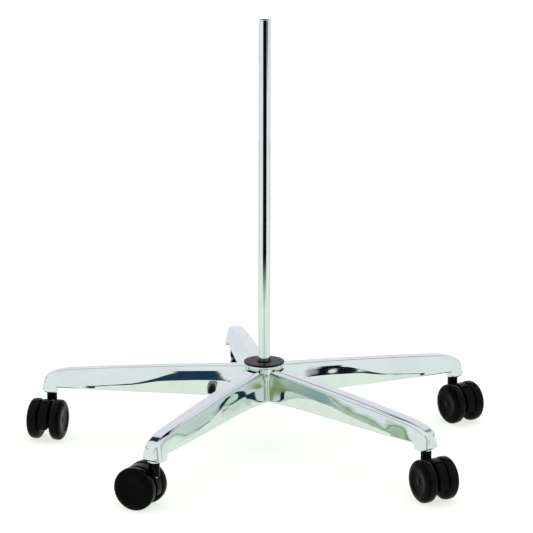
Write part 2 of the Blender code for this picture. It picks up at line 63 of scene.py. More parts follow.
# %% Read the hub axis and the caster axes from the frame
TUBE_LOW, TUBE_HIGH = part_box("post_tube")
HUB = Vector(((TUBE_LOW[0] + TUBE_HIGH[0]) / 2, (TUBE_LOW[1] + TUBE_HIGH[1]) / 2, 0.0))
JOINTS = {joint["name"]: joint for joint in frame["joints"]}
CASTERS = {}
for name in ("right", "back", "left", "front_left", "front_right"):
    stem = Vector(JOINTS[name + "_swivel_turn"]["pos_m"])
    axle = Vector(JOINTS[name + "_wheel_a_roll"]["pos_m"])
    stem.z = 0.0
    trail = math.atan2(axle.y - stem.y, axle.x - stem.x)
    CASTERS[name] = {"stem": stem, "axle": axle, "trail": trail,
                     "arm": math.atan2(stem.y - HUB.y, stem.x - HUB.x)}
STEM_CIRCLE = (CASTERS["right"]["stem"] - HUB).length
TRAIL = (CASTERS["right"]["axle"].xy - CASTERS["right"]["stem"].xy).length
print("hub axis %.4f %.4f, stem circle %.4f, trail %.4f" % (HUB.x, HUB.y, STEM_CIRCLE, TRAIL))

# %% [markdown]
# ## Three ways to make a shape
# Almost all of this object is turned, lofted or cut. A **lathe** spins a profile round an axis: it
# suits the tube, discs, wheels and pins. A **loft** skins a row of unlike sections: it suits the
# arms. A **boolean** joins or cuts finished solids: it suits bosses, bores and pockets. Real parts
# have no perfectly sharp corner, so `soften` rounds a profile's corners before it is spun. Those
# small radii catch the light, and they are what makes a plain shape read as a made thing.

# %% Profiles: lines with rounded corners
def spread(start, end, steps):
    """Evenly spaced values from start to end, both included."""
    return [start + (end - start) * k / steps for k in range(steps + 1)]


def soften(points, steps=4):
    """points are (r, z, corner radius); each corner with a radius becomes a short arc."""
    outline = []
    count = len(points)
    for i, (x, z, radius) in enumerate(points):
        here = Vector((x, z))
        before = Vector(points[i - 1][:2]) - here
        after = Vector(points[(i + 1) % count][:2]) - here
        if radius <= 0.0 or before.length < 1e-7 or after.length < 1e-7:
            outline.append((x, z))
            continue
        corner = before.angle(after) / 2
        reach = min(radius / math.tan(corner), 0.48 * before.length, 0.48 * after.length)
        start, end = here + before.normalized() * reach, here + after.normalized() * reach
        for t in spread(0.0, 1.0, steps):
            spot = start * (1 - t) ** 2 + here * 2 * t * (1 - t) + end * t ** 2
            outline.append((max(0.0, spot.x), spot.y))
    return outline

# %% Skins: faces between rows of points
def bridge(shape, near, far, closed=True):
    """Faces between two rows of vertices; where they share vertices, triangles or nothing."""
    count = len(near)
    for i in range(count if closed else count - 1):
        j = (i + 1) % count
        corners = list(dict.fromkeys((near[i], near[j], far[j], far[i])))
        if len(corners) > 2:
            shape.faces.new(corners)


def to_mesh(shape, name):
    bmesh.ops.recalc_face_normals(shape, faces=shape.faces)
    mesh = bpy.data.meshes.new(name)
    shape.to_mesh(mesh)
    shape.free()
    return mesh


def lathe(outline, steps=96):
    """Spins a closed (r, z) outline round Z. Points on the axis become one vertex."""
    shape = bmesh.new()
    turns = spread(0.0, math.tau, steps)[:-1]
    rings = []
    for r, z in outline:
        if r < 1e-7:
            rings.append([shape.verts.new((0.0, 0.0, z))] * steps)
        else:
            rings.append([shape.verts.new((r * math.cos(turn), r * math.sin(turn), z)) for turn in turns])
    for near, far in zip(rings, rings[1:] + rings[:1]):
        bridge(shape, near, far)
    return to_mesh(shape, "turned")


def loft(rings):
    """A closed skin through rings of equal point counts, with a flat lid on each end."""
    shape = bmesh.new()
    loops = [[shape.verts.new(point) for point in ring] for ring in rings]
    for near, far in zip(loops, loops[1:]):
        bridge(shape, near, far)
    shape.faces.new(loops[0][::-1])
    shape.faces.new(loops[-1])
    bmesh.ops.remove_doubles(shape, verts=shape.verts, dist=1e-6)
    return to_mesh(shape, "lofted")

# %% Booleans: join or cut, then keep only the result
def new_object(name, data, place=Matrix.Identity(4)):
    item = bpy.data.objects.new(name, data)
    item.matrix_world = place
    bpy.context.scene.collection.objects.link(item)
    return item


def combine(base, tool, operation, place=Matrix.Identity(4)):
    """The mesh of base joined with, or cut by, tool. The helper objects are removed again."""
    one, two = new_object("base", base), new_object("tool", tool, place)
    step = one.modifiers.new("step", "BOOLEAN")
    step.operation = operation
    step.solver = "EXACT"
    step.object = two
    graph = bpy.context.evaluated_depsgraph_get()
    result = bpy.data.meshes.new_from_object(one.evaluated_get(graph))
    for item in (one, two):
        bpy.data.objects.remove(item, do_unlink=True)
    return result

# %% Pieces: name a mesh, give it its finish and let it ride
SMOOTH_BELOW = math.radians(32.0)


def add_piece(name, mesh, finish, body, stands_for, place):
    """A finished piece: smooth where it is round, crisp at its corners, riding on its body."""
    mesh.name = name
    mesh.shade_smooth()
    mesh.set_sharp_from_angle(angle=SMOOTH_BELOW)
    mesh.materials.append(finish)
    piece = new_object(name, mesh, place)
    even = piece.modifiers.new("even_shading", "WEIGHTED_NORMAL")
    even.keep_sharp = True
    even.weight = 100
    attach(piece, body)
    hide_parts(*stands_for)
    return piece

# %% [markdown]
# ## Shader groups
# An effect that several finishes share is built once as a node group. `polish_marks` is what a
# buffing wheel and use leave on plated metal: a soft haze and hairline scratches. `cast_wave` is
# the slow unevenness of a polished casting, which bends the reflections in the arms. `moulded_skin`
# is the fine grain of injection-moulded plastic. `settled_dust` finds faces that look up.

# %% Small helpers that wire nodes
FLOAT, VECTOR = "NodeSocketFloat", "NodeSocketVector"


def new_group(name, inputs, outputs):
    """An empty group; gives back the group, its source sockets and its sink sockets."""
    group = bpy.data.node_groups.new(name, "ShaderNodeTree")
    for label, kind, value in inputs:
        socket = group.interface.new_socket(name=label, in_out="INPUT", socket_type=kind)
        if value is not None:
            socket.default_value = value
    for label, kind in outputs:
        group.interface.new_socket(name=label, in_out="OUTPUT", socket_type=kind)
    return group, group.nodes.new("NodeGroupInput").outputs, group.nodes.new("NodeGroupOutput").inputs


def add_node(tree, kind, settings=None, **inputs):
    """Adds a node, fills in its settings and sockets, gives back its outputs. A value may be a socket."""
    node = tree.nodes.new(kind)
    for key, value in (settings or {}).items():
        setattr(node, key, value)
    for key, value in inputs.items():
        numbered = key[0] == "i" and key[1:].isdigit()
        socket = node.inputs[int(key[1:]) if numbered else key.replace("_", " ")]
        if isinstance(value, bpy.types.NodeSocket):
            tree.links.new(value, socket)
        else:
            socket.default_value = value
    return node.outputs


def noise(tree, where, size, detail=2.0, roughness=0.5):
    return add_node(tree, "ShaderNodeTexNoise", Vector=where, Scale=size, Detail=detail,
                    Roughness=roughness)["Fac"]


def ramp(tree, value, low, high, start=0.0, end=1.0, kind="SMOOTHSTEP"):
    """Goes from start to end while value goes from low to high; low may be the larger."""
    return add_node(tree, "ShaderNodeMapRange", {"interpolation_type": kind}, Value=value,
                    From_Min=low, From_Max=high, To_Min=start, To_Max=end)["Result"]


def reckon(tree, operation, *values):
    """One step of arithmetic on sockets or numbers."""
    inputs = {"i%d" % i: value for i, value in enumerate(values)}
    return add_node(tree, "ShaderNodeMath", {"operation": operation}, **inputs)[0]

# %% Group: polish marks
polish_marks, source, sink = new_group(
    "polish_marks",
    [("Vector", VECTOR, None), ("Haze Size", FLOAT, 30.0), ("Scratch Size", FLOAT, 900.0)],
    [("Haze", FLOAT), ("Scratch", FLOAT)])
haze = noise(polish_marks, source["Vector"], source["Haze Size"], 6.0, 0.62)
drawn_out = add_node(polish_marks, "ShaderNodeMapping", Vector=source["Vector"],
                     Rotation=(0.35, 0.2, 0.9), Scale=(1.0, 0.06, 0.06))
hairs = noise(polish_marks, drawn_out["Vector"], source["Scratch Size"])
polish_marks.links.new(ramp(polish_marks, haze, 0.42, 0.72), sink["Haze"])
polish_marks.links.new(ramp(polish_marks, hairs, 0.62, 0.75, kind="LINEAR"), sink["Scratch"])

# %% Group: cast wave
cast_wave, source, sink = new_group(
    "cast_wave", [("Vector", VECTOR, None), ("Wave Size", FLOAT, 22.0)], [("Height", FLOAT)])
stretch = add_node(cast_wave, "ShaderNodeMapping", Vector=source["Vector"], Scale=(1.0, 1.0, 1.6))
wave = noise(cast_wave, stretch["Vector"], source["Wave Size"], 1.0, 0.3)
cast_wave.links.new(wave, sink["Height"])

# %% Group: moulded skin
moulded_skin, source, sink = new_group(
    "moulded_skin", [("Vector", VECTOR, None), ("Grain Size", FLOAT, 2600.0)],
    [("Height", FLOAT), ("Gloss Shift", FLOAT)])
moulded_skin.links.new(noise(moulded_skin, source["Vector"], source["Grain Size"], 3.0), sink["Height"])
moulded_skin.links.new(noise(moulded_skin, source["Vector"], 70.0, 3.0), sink["Gloss Shift"])

# %% Group: settled dust
settled_dust, source, sink = new_group(
    "settled_dust", [("Vector", VECTOR, None), ("Speck Size", FLOAT, 1400.0)], [("Mask", FLOAT)])
facing = add_node(settled_dust, "ShaderNodeNewGeometry")
upward = add_node(settled_dust, "ShaderNodeSeparateXYZ", Vector=facing["Normal"])
lying = ramp(settled_dust, upward["Z"], 0.25, 1.0)
specks = noise(settled_dust, source["Vector"], source["Speck Size"])
specks = ramp(settled_dust, specks, 0.58, 0.80, kind="LINEAR")
settled_dust.links.new(reckon(settled_dust, "MULTIPLY", lying, specks), sink["Mask"])
print("shader groups:", [group.name for group in bpy.data.node_groups])

# %% [markdown]
# ## Finishes
# **Chrome** is a metal whose colour is only what it reflects, a little darker and greener than
# white here, as in the photograph. The same recipe serves the star and the tube; the star adds the
# wave of a casting. **Black mouldings** are almost black, so their look is all gloss: the specular
# level sets how much of the white studio they show. **Zinc plate** is grey, mottled and faintly
# warm. Numbers that are the same all over sit on the shader's own sockets.

# %% Start a finish
def new_finish(name, **sockets):
    finish = bpy.data.materials.new(name)
    finish.use_nodes = True
    tree = finish.node_tree
    shader = tree.nodes["Principled BSDF"]
    for key, value in sockets.items():
        shader.inputs[key.replace("_", " ")].default_value = value
    where = add_node(tree, "ShaderNodeTexCoord")["Object"]
    return finish, tree, shader, where


def place_group(tree, group, where, **inputs):
    return add_node(tree, "ShaderNodeGroup", {"node_tree": group}, Vector=where, **inputs)


def blend_values(tree, mask, low, high):
    return ramp(tree, mask, 0.0, 1.0, low, high, kind="LINEAR")


def blend_colours(tree, mask, first, second):
    """Each colour may be four numbers or a socket."""
    return add_node(tree, "ShaderNodeMix", {"data_type": "RGBA"}, i0=mask, i6=first, i7=second)[2]


def mix_surfaces(tree, share, first, second):
    """The surface is first where share is 0 and second where it is 1."""
    mix = add_node(tree, "ShaderNodeMixShader", Fac=share, i1=first, i2=second)
    tree.links.new(mix["Shader"], tree.nodes["Material Output"].inputs["Surface"])


def bump(tree, shader, height, strength, distance, below=None):
    under = {"Normal": below} if below else {}
    normal = add_node(tree, "ShaderNodeBump", Height=height, Strength=strength, Distance=distance,
                      **under)["Normal"]
    tree.links.new(normal, shader.inputs["Normal"])
    return normal

# %% Metals: chrome, zinc plate and blacked spring steel
def metal(name, light, dark, gloss, dull, scratches, ior=1.5, wave=None, **sizes):
    """Haze shifts colour and gloss together; scratches and wave are (strength, depth)."""
    finish, tree, shader, where = new_finish(name, Metallic=1.0, IOR=ior)
    marks = place_group(tree, polish_marks, where, **sizes)
    tree.links.new(blend_colours(tree, marks["Haze"], light, dark), shader.inputs["Base Color"])
    tree.links.new(blend_values(tree, marks["Haze"], gloss, dull), shader.inputs["Roughness"])
    normal = bump(tree, shader, marks["Scratch"], *scratches)
    if wave:
        slow = place_group(tree, cast_wave, where)
        bump(tree, shader, slow["Height"], *wave, below=normal)
    return finish


CHROME = {"light": (0.700, 0.780, 0.745, 1.0), "dark": (0.655, 0.735, 0.700, 1.0), "gloss": 0.030,
          "dull": 0.060, "ior": 2.5, "scratches": (0.05, 0.00002)}
STAR_CHROME = metal("star_chrome", wave=(1.0, 0.0006), **CHROME)
TUBE_CHROME = metal("tube_chrome", **CHROME)
STEEL_MARKS = {"scratches": (0.25, 0.00003), "Haze_Size": 160.0, "Scratch_Size": 1500.0}
ZINC = metal("zinc_plate", (0.66, 0.65, 0.60, 1.0), (0.50, 0.50, 0.49, 1.0), 0.22, 0.36, **STEEL_MARKS)
SPRING_STEEL = metal("spring_steel", (0.13, 0.13, 0.14, 1.0), (0.07, 0.07, 0.08, 1.0), 0.30, 0.44,
                     **STEEL_MARKS)

# %% Black mouldings: hood and wheels, tread, hub disc and sleeve
DUST_COLOUR = (0.20, 0.19, 0.18, 1.0)


def black_moulding(name, colour, gloss, level, grain_strength, dust=0.25):
    finish, tree, shader, where = new_finish(name, Specular_IOR_Level=level)
    skin = place_group(tree, moulded_skin, where)
    film = place_group(tree, settled_dust, where)
    dusted = reckon(tree, "MULTIPLY", film["Mask"], dust)
    tree.links.new(blend_colours(tree, dusted, colour, DUST_COLOUR), shader.inputs["Base Color"])
    tree.links.new(blend_values(tree, skin["Gloss Shift"], gloss * 0.85, gloss * 1.2),
                   shader.inputs["Roughness"])
    bump(tree, shader, skin["Height"], grain_strength, 0.00003)
    return finish


HOOD_BLACK = black_moulding("hood_black", (0.0016, 0.0016, 0.0020, 1.0), 0.09, 0.060, 0.03, 0.02)
WHEEL_BLACK = black_moulding("wheel_black", (0.0011, 0.0011, 0.0015, 1.0), 0.13, 0.040, 0.08, 0.02)
TREAD_BLACK = black_moulding("tread_black", (0.0018, 0.0018, 0.0022, 1.0), 0.11, 0.070, 0.10, 0.02)
DISC_BLACK = black_moulding("disc_black", (0.0040, 0.0026, 0.0036, 1.0), 0.09, 0.05, 0.02, 0.02)
SLEEVE_BLACK = black_moulding("sleeve_black", (0.010, 0.010, 0.011, 1.0), 0.40, 0.4, 0.30)
print("finishes:", len(bpy.data.materials))

# %% [markdown]
# ## The star's arms
# Each arm is a bright casting: a flat band on top, rounded edges, a plain side and a foot that
# flares where the arm nears the hub. It could be a bevelled box, but then every section would be
# alike. A loft lets each section have its own width, height and flare. A mirror finish shows every
# bend of the surface, so the sections are close together and their points follow true arcs.

# %% Height and width of an arm, from the hub axis outwards
ARM = {"top_at_hub": 0.1122, "top_at_stem": 0.0923, "start_slope": 0.054, "flat_half": 0.0058,
       "flat_half_at_hub": 0.0072, "round_wide": 0.0050, "round_tall": 0.0080, "foot_rounding": 0.0020,
       "underside": 0.0698, "flare_start": 0.030, "flare_end": 0.150}
NOSE = {"radius": 0.0113, "top_reach": 0.0106, "foot_reach": 0.0122, "squareness": 2.7, "droop": 0.014,
        "droop_length": 0.040, "underside": 0.0620, "lift": 0.0030}
COLLAR_RADIUS = 0.0260
STEP_START, STEP_END = STEM_CIRCLE - 0.0105, STEM_CIRCLE - 0.0055


def ease(low, high, value):
    share = min(1.0, max(0.0, (value - low) / (high - low)))
    return share * share * (3.0 - 2.0 * share)


def hub_share(x):
    """1 where the arms meet at the hub, easing to 0 along the arm."""
    share = (ARM["flare_end"] - x) / (ARM["flare_end"] - ARM["flare_start"])
    return min(1.0, max(0.0, share)) ** 2


def arm_top(x):
    run = STEM_CIRCLE - COLLAR_RADIUS
    along = max(0.0, x - COLLAR_RADIUS)
    bow = ARM["top_at_hub"] - ARM["top_at_stem"] - ARM["start_slope"] * run
    height = ARM["top_at_hub"] - ARM["start_slope"] * along - bow * (along / run) ** 2
    into_nose = (x - (STEM_CIRCLE + NOSE["radius"] - NOSE["droop_length"])) / NOSE["droop_length"]
    return height - NOSE["droop"] * (1.0 - math.sqrt(1.0 - min(1.0, max(0.0, into_nose)) ** 2))


def arm_underside(x):
    height = ARM["underside"] + (NOSE["underside"] - ARM["underside"]) * ease(
        STEP_START, STEP_END, x)
    past = min(1.0, max(0.0, (x - STEM_CIRCLE) / NOSE["radius"]))
    return height + NOSE["lift"] * (1.0 - math.sqrt(1.0 - past ** 2))

# %% How the side leans: a tipped upper part, a band between, then a nearly upright lower part
# Each row: distance from the hub axis, foot and head of the band above the arm's foot, then the
# lean of the upper part, of the band and of the lower part in degrees from upright.
SIDE_ROWS = [(0.011, 0.0200, 0.0330, 14.0, 13.5, 10.0), (0.030, 0.0200, 0.0330, 14.0, 13.5, 9.5),
             (0.046, 0.0198, 0.0320, 12.0, 11.0, 7.5), (0.060, 0.0195, 0.0310, 9.8, 9.6, 3.8),
             (0.075, 0.0190, 0.0300, 9.6, 9.4, 3.0), (0.092, 0.0180, 0.0290, 9.0, 8.5, 3.2),
             (0.108, 0.0168, 0.0275, 9.4, 8.2, 4.0), (0.125, 0.0155, 0.0245, 11.4, 8.0, 4.8),
             (0.142, 0.0140, 0.0190, 12.8, 8.0, 4.6), (0.158, 0.0108, 0.0142, 13.0, 8.0, 4.4),
             (0.175, 0.0078, 0.0100, 13.0, 8.0, 4.2), (0.192, 0.0060, 0.0078, 13.0, 8.0, 4.0),
             (0.208, 0.0048, 0.0060, 13.0, 8.0, 4.0), (0.224, 0.0036, 0.0046, 13.0, 9.5, 6.0),
             (0.240, 0.0034, 0.0046, 12.8, 12.0, 10.0), (0.262, 0.0034, 0.0046, 12.4, 12.4, 12.4),
             (0.292, 0.0034, 0.0046, 12.0, 12.0, 12.0)]


def side_row(x):
    """The row's values at x, carried between the rows by smooth cubic curves."""
    xs = [row[0] for row in SIDE_ROWS]
    x = min(max(x, xs[0]), xs[-1])
    i = max(k for k in range(len(xs) - 1) if xs[k] <= x)
    span = xs[i + 1] - xs[i]
    t = (x - xs[i]) / span
    values = []
    for column in range(1, len(SIDE_ROWS[0])):
        def slope(k):
            low, high = max(0, k - 1), min(len(xs) - 1, k + 1)
            return (SIDE_ROWS[high][column] - SIDE_ROWS[low][column]) / (xs[high] - xs[low])
        a, b = SIDE_ROWS[i][column], SIDE_ROWS[i + 1][column]
        values.append(a * (2 * t ** 3 - 3 * t ** 2 + 1) + slope(i) * span * (t ** 3 - 2 * t ** 2 + t)
                      + b * (3 * t ** 2 - 2 * t ** 3) + slope(i + 1) * span * (t ** 3 - t ** 2))
    return values


def side_steps(x, height):
    """Steps down one side as (drop, lean): the same count in each zone, so creases stay crisp."""
    band_foot, band_head, upper, band, lower = side_row(x)
    blend, least_upper = 0.0006, 0.0030
    band_head = min(band_head, height - least_upper)
    zones = [(height - band_head - blend, upper, upper, 10), (2 * blend, upper, band, 5),
             (band_head - band_foot - 2 * blend, band, band, 12), (2 * blend, band, lower, 5),
             (band_foot - blend, lower, lower, 10)]
    steps = []
    for drop, first, last, count in zones:
        for k in range(count):
            share = ease(0.0, 1.0, (k + 0.5) / count)
            steps.append((max(drop, 1e-5) / count, first + (last - first) * share))
    return steps

# %% One side of the section, from the middle of the top down to the middle of the foot
def flat_half(x):
    return ARM["flat_half"] + (ARM["flat_half_at_hub"] - ARM["flat_half"]) * hub_share(x)


def half_section(x, arc_steps=14):
    """Flat top, a wide soft edge that ends at the side's own lean, the side, and the foot."""
    top, foot, low_round = arm_top(x), arm_underside(x), ARM["foot_rounding"]
    flat, wide, tall = flat_half(x), ARM["round_wide"], ARM["round_tall"]
    points = [(0.0, top), (flat * 0.5, top), (flat - 0.0012, top), (flat - 0.0004, top)]
    last_turn = math.atan2(wide, tall * math.tan(math.radians(side_row(x)[2])))
    for turn in spread(0.0, last_turn, arc_steps):
        points.append((flat + wide * math.sin(turn), top - tall * (1.0 - math.cos(turn))))
    y, z = points[-1]
    for fall, lean in side_steps(x, z - foot - low_round):
        y += fall * math.tan(math.radians(lean))
        z -= fall
        points.append((y, z))
    for turn in spread(0.0, -math.pi / 2, 5)[1:]:
        points.append((y - low_round + low_round * math.cos(turn), z + low_round * math.sin(turn)))
    points.append(((y - low_round) * 0.5, foot))
    points.append((0.0, foot))
    return points

# %% [markdown]
# The end of the arm is a rounded nose. Sections squeezed ever narrower would pinch at the tip, and
# a mirror shows that at once. Here the last section is swung round the caster's stem instead, like
# a door round its hinge, so the nose is as smooth as a turned part.

# %% Skin of one arm with its nose
ARM_ROOT, ARM_MIDDLE = 0.0105, 0.105


def full_half_width(section, height):
    """Half width at a height as if the top edge were not rounded, so that the nose's edge rounds too."""
    low = max(y for y, z in section)
    high = ARM["flat_half"] + ARM["round_wide"] * 0.96
    return low + (high - low) * height


def arm_mesh():
    shape = bmesh.new()
    stations = (spread(ARM_ROOT, ARM_MIDDLE, 26)[:-1] + spread(ARM_MIDDLE, STEP_START, 24)[:-1]
                + spread(STEP_START, STEP_END, 6)[:-1] + spread(STEP_END, STEM_CIRCLE, 4))
    rows = []
    for x in stations:
        half = half_section(x)
        ring = [(x, y, z) for y, z in half] + [(x, -y, z) for y, z in half[-2:0:-1]]
        rows.append([shape.verts.new(point) for point in ring])
    for near, far in zip(rows, rows[1:]):
        bridge(shape, near, far)
    shape.faces.new(rows[0][::-1])
    last = half_section(STEM_CIRCLE)
    top, foot = arm_top(STEM_CIRCLE), arm_underside(STEM_CIRCLE)
    power = 2.0 / NOSE["squareness"]
    columns = []
    for turn in spread(math.pi / 2, -math.pi / 2, 36):
        out = max(0.0, math.cos(turn)) ** power
        across = math.copysign(abs(math.sin(turn)) ** power, turn)
        column = []
        for y, z in last:
            height = (z - foot) / (top - foot)
            reach = NOSE["foot_reach"] + (NOSE["top_reach"] - NOSE["foot_reach"]) * height
            x = STEM_CIRCLE + out * reach * y / full_half_width(last, height)
            low, high = arm_underside(x), arm_top(x)
            column.append(shape.verts.new((x, y * across, low + (high - low) * height)))
        columns.append(column)
    for near, far in zip(columns, columns[1:]):
        bridge(shape, near, far, closed=False)
    bmesh.ops.remove_doubles(shape, verts=shape.verts, dist=1e-6)
    bmesh.ops.dissolve_degenerate(shape, edges=shape.edges, dist=1e-7)
    loose = [edge for edge in shape.edges if len(edge.link_faces) != 2]
    print("arm: %d faces, %d open edges" % (len(shape.faces), len(loose)))
    return to_mesh(shape, "arm")

# %% Pockets under the arm, the caster socket and its boss
POCKET = {"start": 0.046, "wall": 0.0034, "roof": 0.0045, "rib": 0.0040, "corner": 0.0020}
SOCKET = {"foot": 0.0605, "radius": 0.0090, "foot_radius": 0.0084, "bore": 0.0061, "depth": 0.0220}


def pocket_mesh(start, end):
    rings = []
    for x in spread(start, end, 8):
        top_half = flat_half(x) + ARM["round_wide"] * 0.75 - POCKET["wall"]
        foot_half = max(y for y, z in half_section(x)) - POCKET["wall"] - 0.0010
        roof = arm_top(x) - POCKET["roof"]
        corner = POCKET["corner"]
        side = [(top_half - corner * (1.0 - math.sin(turn)), roof - corner * (1.0 - math.cos(turn)))
                for turn in spread(0.0, math.pi / 2, 4)]
        side.append((foot_half, ARM["underside"] - 0.004))
        rings.append([(x, y, z) for y, z in side] + [(x, -y, z) for y, z in reversed(side)])
    return loft(rings)


def finished_arm():
    arm = arm_mesh()
    stem = Matrix.Translation((STEM_CIRCLE, 0.0, 0.0))
    boss_top = arm_top(STEM_CIRCLE) - 0.008
    radius, low = SOCKET["foot_radius"], SOCKET["foot"]
    boss = soften([(0.0, boss_top, 0), (SOCKET["radius"], boss_top, 0),
                   (SOCKET["radius"], low + 0.006, 0.002), (radius, low + 0.003, 0.002),
                   (radius, low, 0.0007), (0.0, low, 0)])
    arm = combine(arm, lathe(boss, 64), "UNION", stem)
    bore = soften([(0.0, low + SOCKET["depth"], 0), (SOCKET["bore"], low + SOCKET["depth"], 0.0006),
                   (SOCKET["bore"], low + 0.0007, 0), (SOCKET["bore"] + 0.0012, low - 0.0005, 0),
                   (SOCKET["bore"] + 0.0012, low - 0.002, 0), (0.0, low - 0.002, 0)])
    tools = [(lathe(bore, 48), stem)]
    middle = (POCKET["start"] + STEP_START) / 2
    for start, end in ((POCKET["start"], middle - POCKET["rib"] / 2),
                       (middle + POCKET["rib"] / 2, STEP_START)):
        tools.append((pocket_mesh(start, end), Matrix.Identity(4)))
    for tool, place in tools:
        arm = combine(arm, tool, "DIFFERENCE", place)
    return arm

# %% The hollow corner between two arms
CORNER = {"radius": 0.0038, "top": 0.1068, "spread": 0.35, "spread_height": 0.004, "section_at": 0.024,
          "overlap": 0.00003, "steps": 16}


def side_half_width(x, z):
    """Half width of the arm at height z, read off its section."""
    section = [point for point in half_section(x) if point[0] > flat_half(x) * 0.9]
    for (y_high, z_high), (y_low, z_low) in zip(section, section[1:]):
        if z_low <= z <= z_high and z_high > z_low:
            return y_high + (y_low - y_high) * (z_high - z) / (z_high - z_low)
    return section[-6][0]


def corner_mesh():
    """A post whose outer face is a hollow round, tangent to the sides of both arms."""
    half_angle = math.pi / len(CASTERS)
    sweep = math.pi / 2 - half_angle
    foot, steps = ARM["underside"] + 0.0002, CORNER["steps"]
    rings = []
    for z in spread(foot, CORNER["top"], steps):
        low_share = max(0.0, 1.0 - (z - ARM["underside"]) / CORNER["spread_height"])
        radius = CORNER["radius"] * (1.0 + CORNER["spread"] * low_share ** 2)
        half = side_half_width(CORNER["section_at"], z)
        centre = (half + radius) / math.sin(half_angle)
        radius += CORNER["overlap"]
        turns = spread(math.pi + sweep, math.pi - sweep, steps)
        inner = 0.60 * half / math.sin(half_angle)
        rings.append([(inner, -0.002, z)]
                     + [(centre + radius * math.cos(turn), radius * math.sin(turn), z) for turn in turns]
                     + [(inner, 0.002, z)])
    return loft(rings)

# %% Hub, collar and the whole star
COLLAR_TOP, HUB_FOOT, HUB_BODY = 0.1155, 0.0700, 0.0275
BORE_TOP, BORE_FOOT = 0.0212, 0.0202


def star_mesh():
    groove = COLLAR_TOP - 0.0020
    hub = soften([(0.0, COLLAR_TOP, 0), (COLLAR_RADIUS, COLLAR_TOP, 0.0008),
                  (COLLAR_RADIUS, groove, 0.0002), (COLLAR_RADIUS - 0.0005, groove - 0.0005, 0.0002),
                  (COLLAR_RADIUS, groove - 0.0010, 0.0002), (COLLAR_RADIUS, 0.1062, 0.001),
                  (HUB_BODY, 0.1022, 0.001), (HUB_BODY, HUB_FOOT, 0.0012), (0.0, HUB_FOOT, 0)])
    arm = finished_arm()
    star = lathe(hub, 144)
    turns = [spot["arm"] for spot in CASTERS.values()]
    for turn in turns:
        star = combine(star, arm, "UNION", Matrix.Rotation(turn, 4, "Z"))
    for turn in turns:
        between = Matrix.Rotation(turn + math.pi / len(CASTERS), 4, "Z")
        star = combine(star, corner_mesh(), "UNION", between)
    slope = (BORE_TOP - BORE_FOOT) / (COLLAR_TOP - HUB_FOOT)
    over = 0.003
    bore = lathe([(0.0, COLLAR_TOP + over), (BORE_TOP + slope * over, COLLAR_TOP + over),
                  (BORE_FOOT - slope * over, HUB_FOOT - over), (0.0, HUB_FOOT - over)], 96)
    return combine(star, bore, "DIFFERENCE")


star = add_piece("star", star_mesh(), STAR_CHROME, "base", ("star_base",),
                 Matrix.Translation(HUB))
print("star: %d faces" % len(star.data.polygons))

# %% [markdown]
# ## Tube, disc and what holds them
# The tube is drawn steel, plated bright and cut square, with its mouth open. A lathe profile that
# goes down the outside and up the bore gives it a real wall. The black disc covers the hub's mouth;
# its short lip hugs the tube. Under it a sleeve, a bolt and washers hold the tube, and they show
# from below.

# %% The upright tube
def on_hub(name, mesh, finish, node):
    return add_piece(name, mesh, finish, "base", (node,), Matrix.Translation(HUB))


TUBE_RADIUS, TUBE_WALL = 0.008, 0.0015
tube_foot, tube_top = TUBE_LOW[2], TUBE_HIGH[2]
bore, near_end = TUBE_RADIUS - TUBE_WALL, 0.001
outline = soften([(TUBE_RADIUS, tube_top, 0.0003), (TUBE_RADIUS, tube_top - near_end, 0),
                  (TUBE_RADIUS, tube_foot + near_end, 0), (TUBE_RADIUS, tube_foot, 0.0003),
                  (bore, tube_foot, 0.0002), (bore, tube_foot + near_end, 0),
                  (bore, tube_top - near_end, 0), (bore, tube_top, 0.0003)], 3)
on_hub("tube", lathe(outline, 96), TUBE_CHROME, "post_tube")
print("tube: %.1f mm long" % ((tube_top - tube_foot) * 1000))

# %% The hub disc
low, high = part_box("hub_cap")
disc_radius, disc_foot, disc_top = (high[0] - low[0]) / 2, low[2], high[2] - 0.0012
lip, hole = TUBE_RADIUS + 0.0014, TUBE_RADIUS + 0.0003
outline = soften([(lip, high[2], 0.0004), (lip, disc_top, 0.0006), (disc_radius, disc_top - 0.0001, 0.0007),
                  (disc_radius, disc_foot, 0.0006), (hole, disc_foot, 0), (hole, high[2], 0.0003)], 5)
on_hub("hub_disc", lathe(outline, 128), DISC_BLACK, "hub_cap")

# %% Sleeve, washer and plug, seen from below
GAP, BOLT_HOLE = 0.0003, 0.0043
low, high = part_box("hub_adapter")
taper = (BORE_TOP - BORE_FOOT) / (COLLAR_TOP - HUB_FOOT)
foot_radius = BORE_FOOT + taper * (low[2] - HUB_FOOT) - GAP
outline = soften([(BORE_TOP - GAP, high[2], 0.0005), (foot_radius, low[2], 0.0010),
                  (BOLT_HOLE, low[2], 0.0004), (BOLT_HOLE, tube_foot - GAP, 0),
                  (TUBE_RADIUS + GAP, tube_foot - GAP, 0), (TUBE_RADIUS + GAP, high[2], 0.0004)])
on_hub("sleeve", lathe(outline, 96), SLEEVE_BLACK, "hub_adapter")
# name: node, outer radius, corner radii from the outer top round to the inner top, steps round
RINGS = {"washer": ("hub_washer", 0.0150, (0.0005, 0.0003, 0.0002, 0.0002), 72),
         "plug": ("post_plug", 0.0062, (0.0006, 0.0003, 0.0003, 0.0006), 48)}
for name, (node, outer, corners, steps) in RINGS.items():
    low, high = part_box(node)
    square = ((outer, high[2]), (outer, low[2]), (BOLT_HOLE, low[2]), (BOLT_HOLE, high[2]))
    outline = soften([(r, z, radius) for (r, z), radius in zip(square, corners)])
    on_hub(name, lathe(outline, steps), ZINC, node)

# %% Bolt with a hexagon head
BOLT = {"radius": 0.0040, "head": 0.0053, "across_flats": 0.0130, "chamfer": 0.0012}


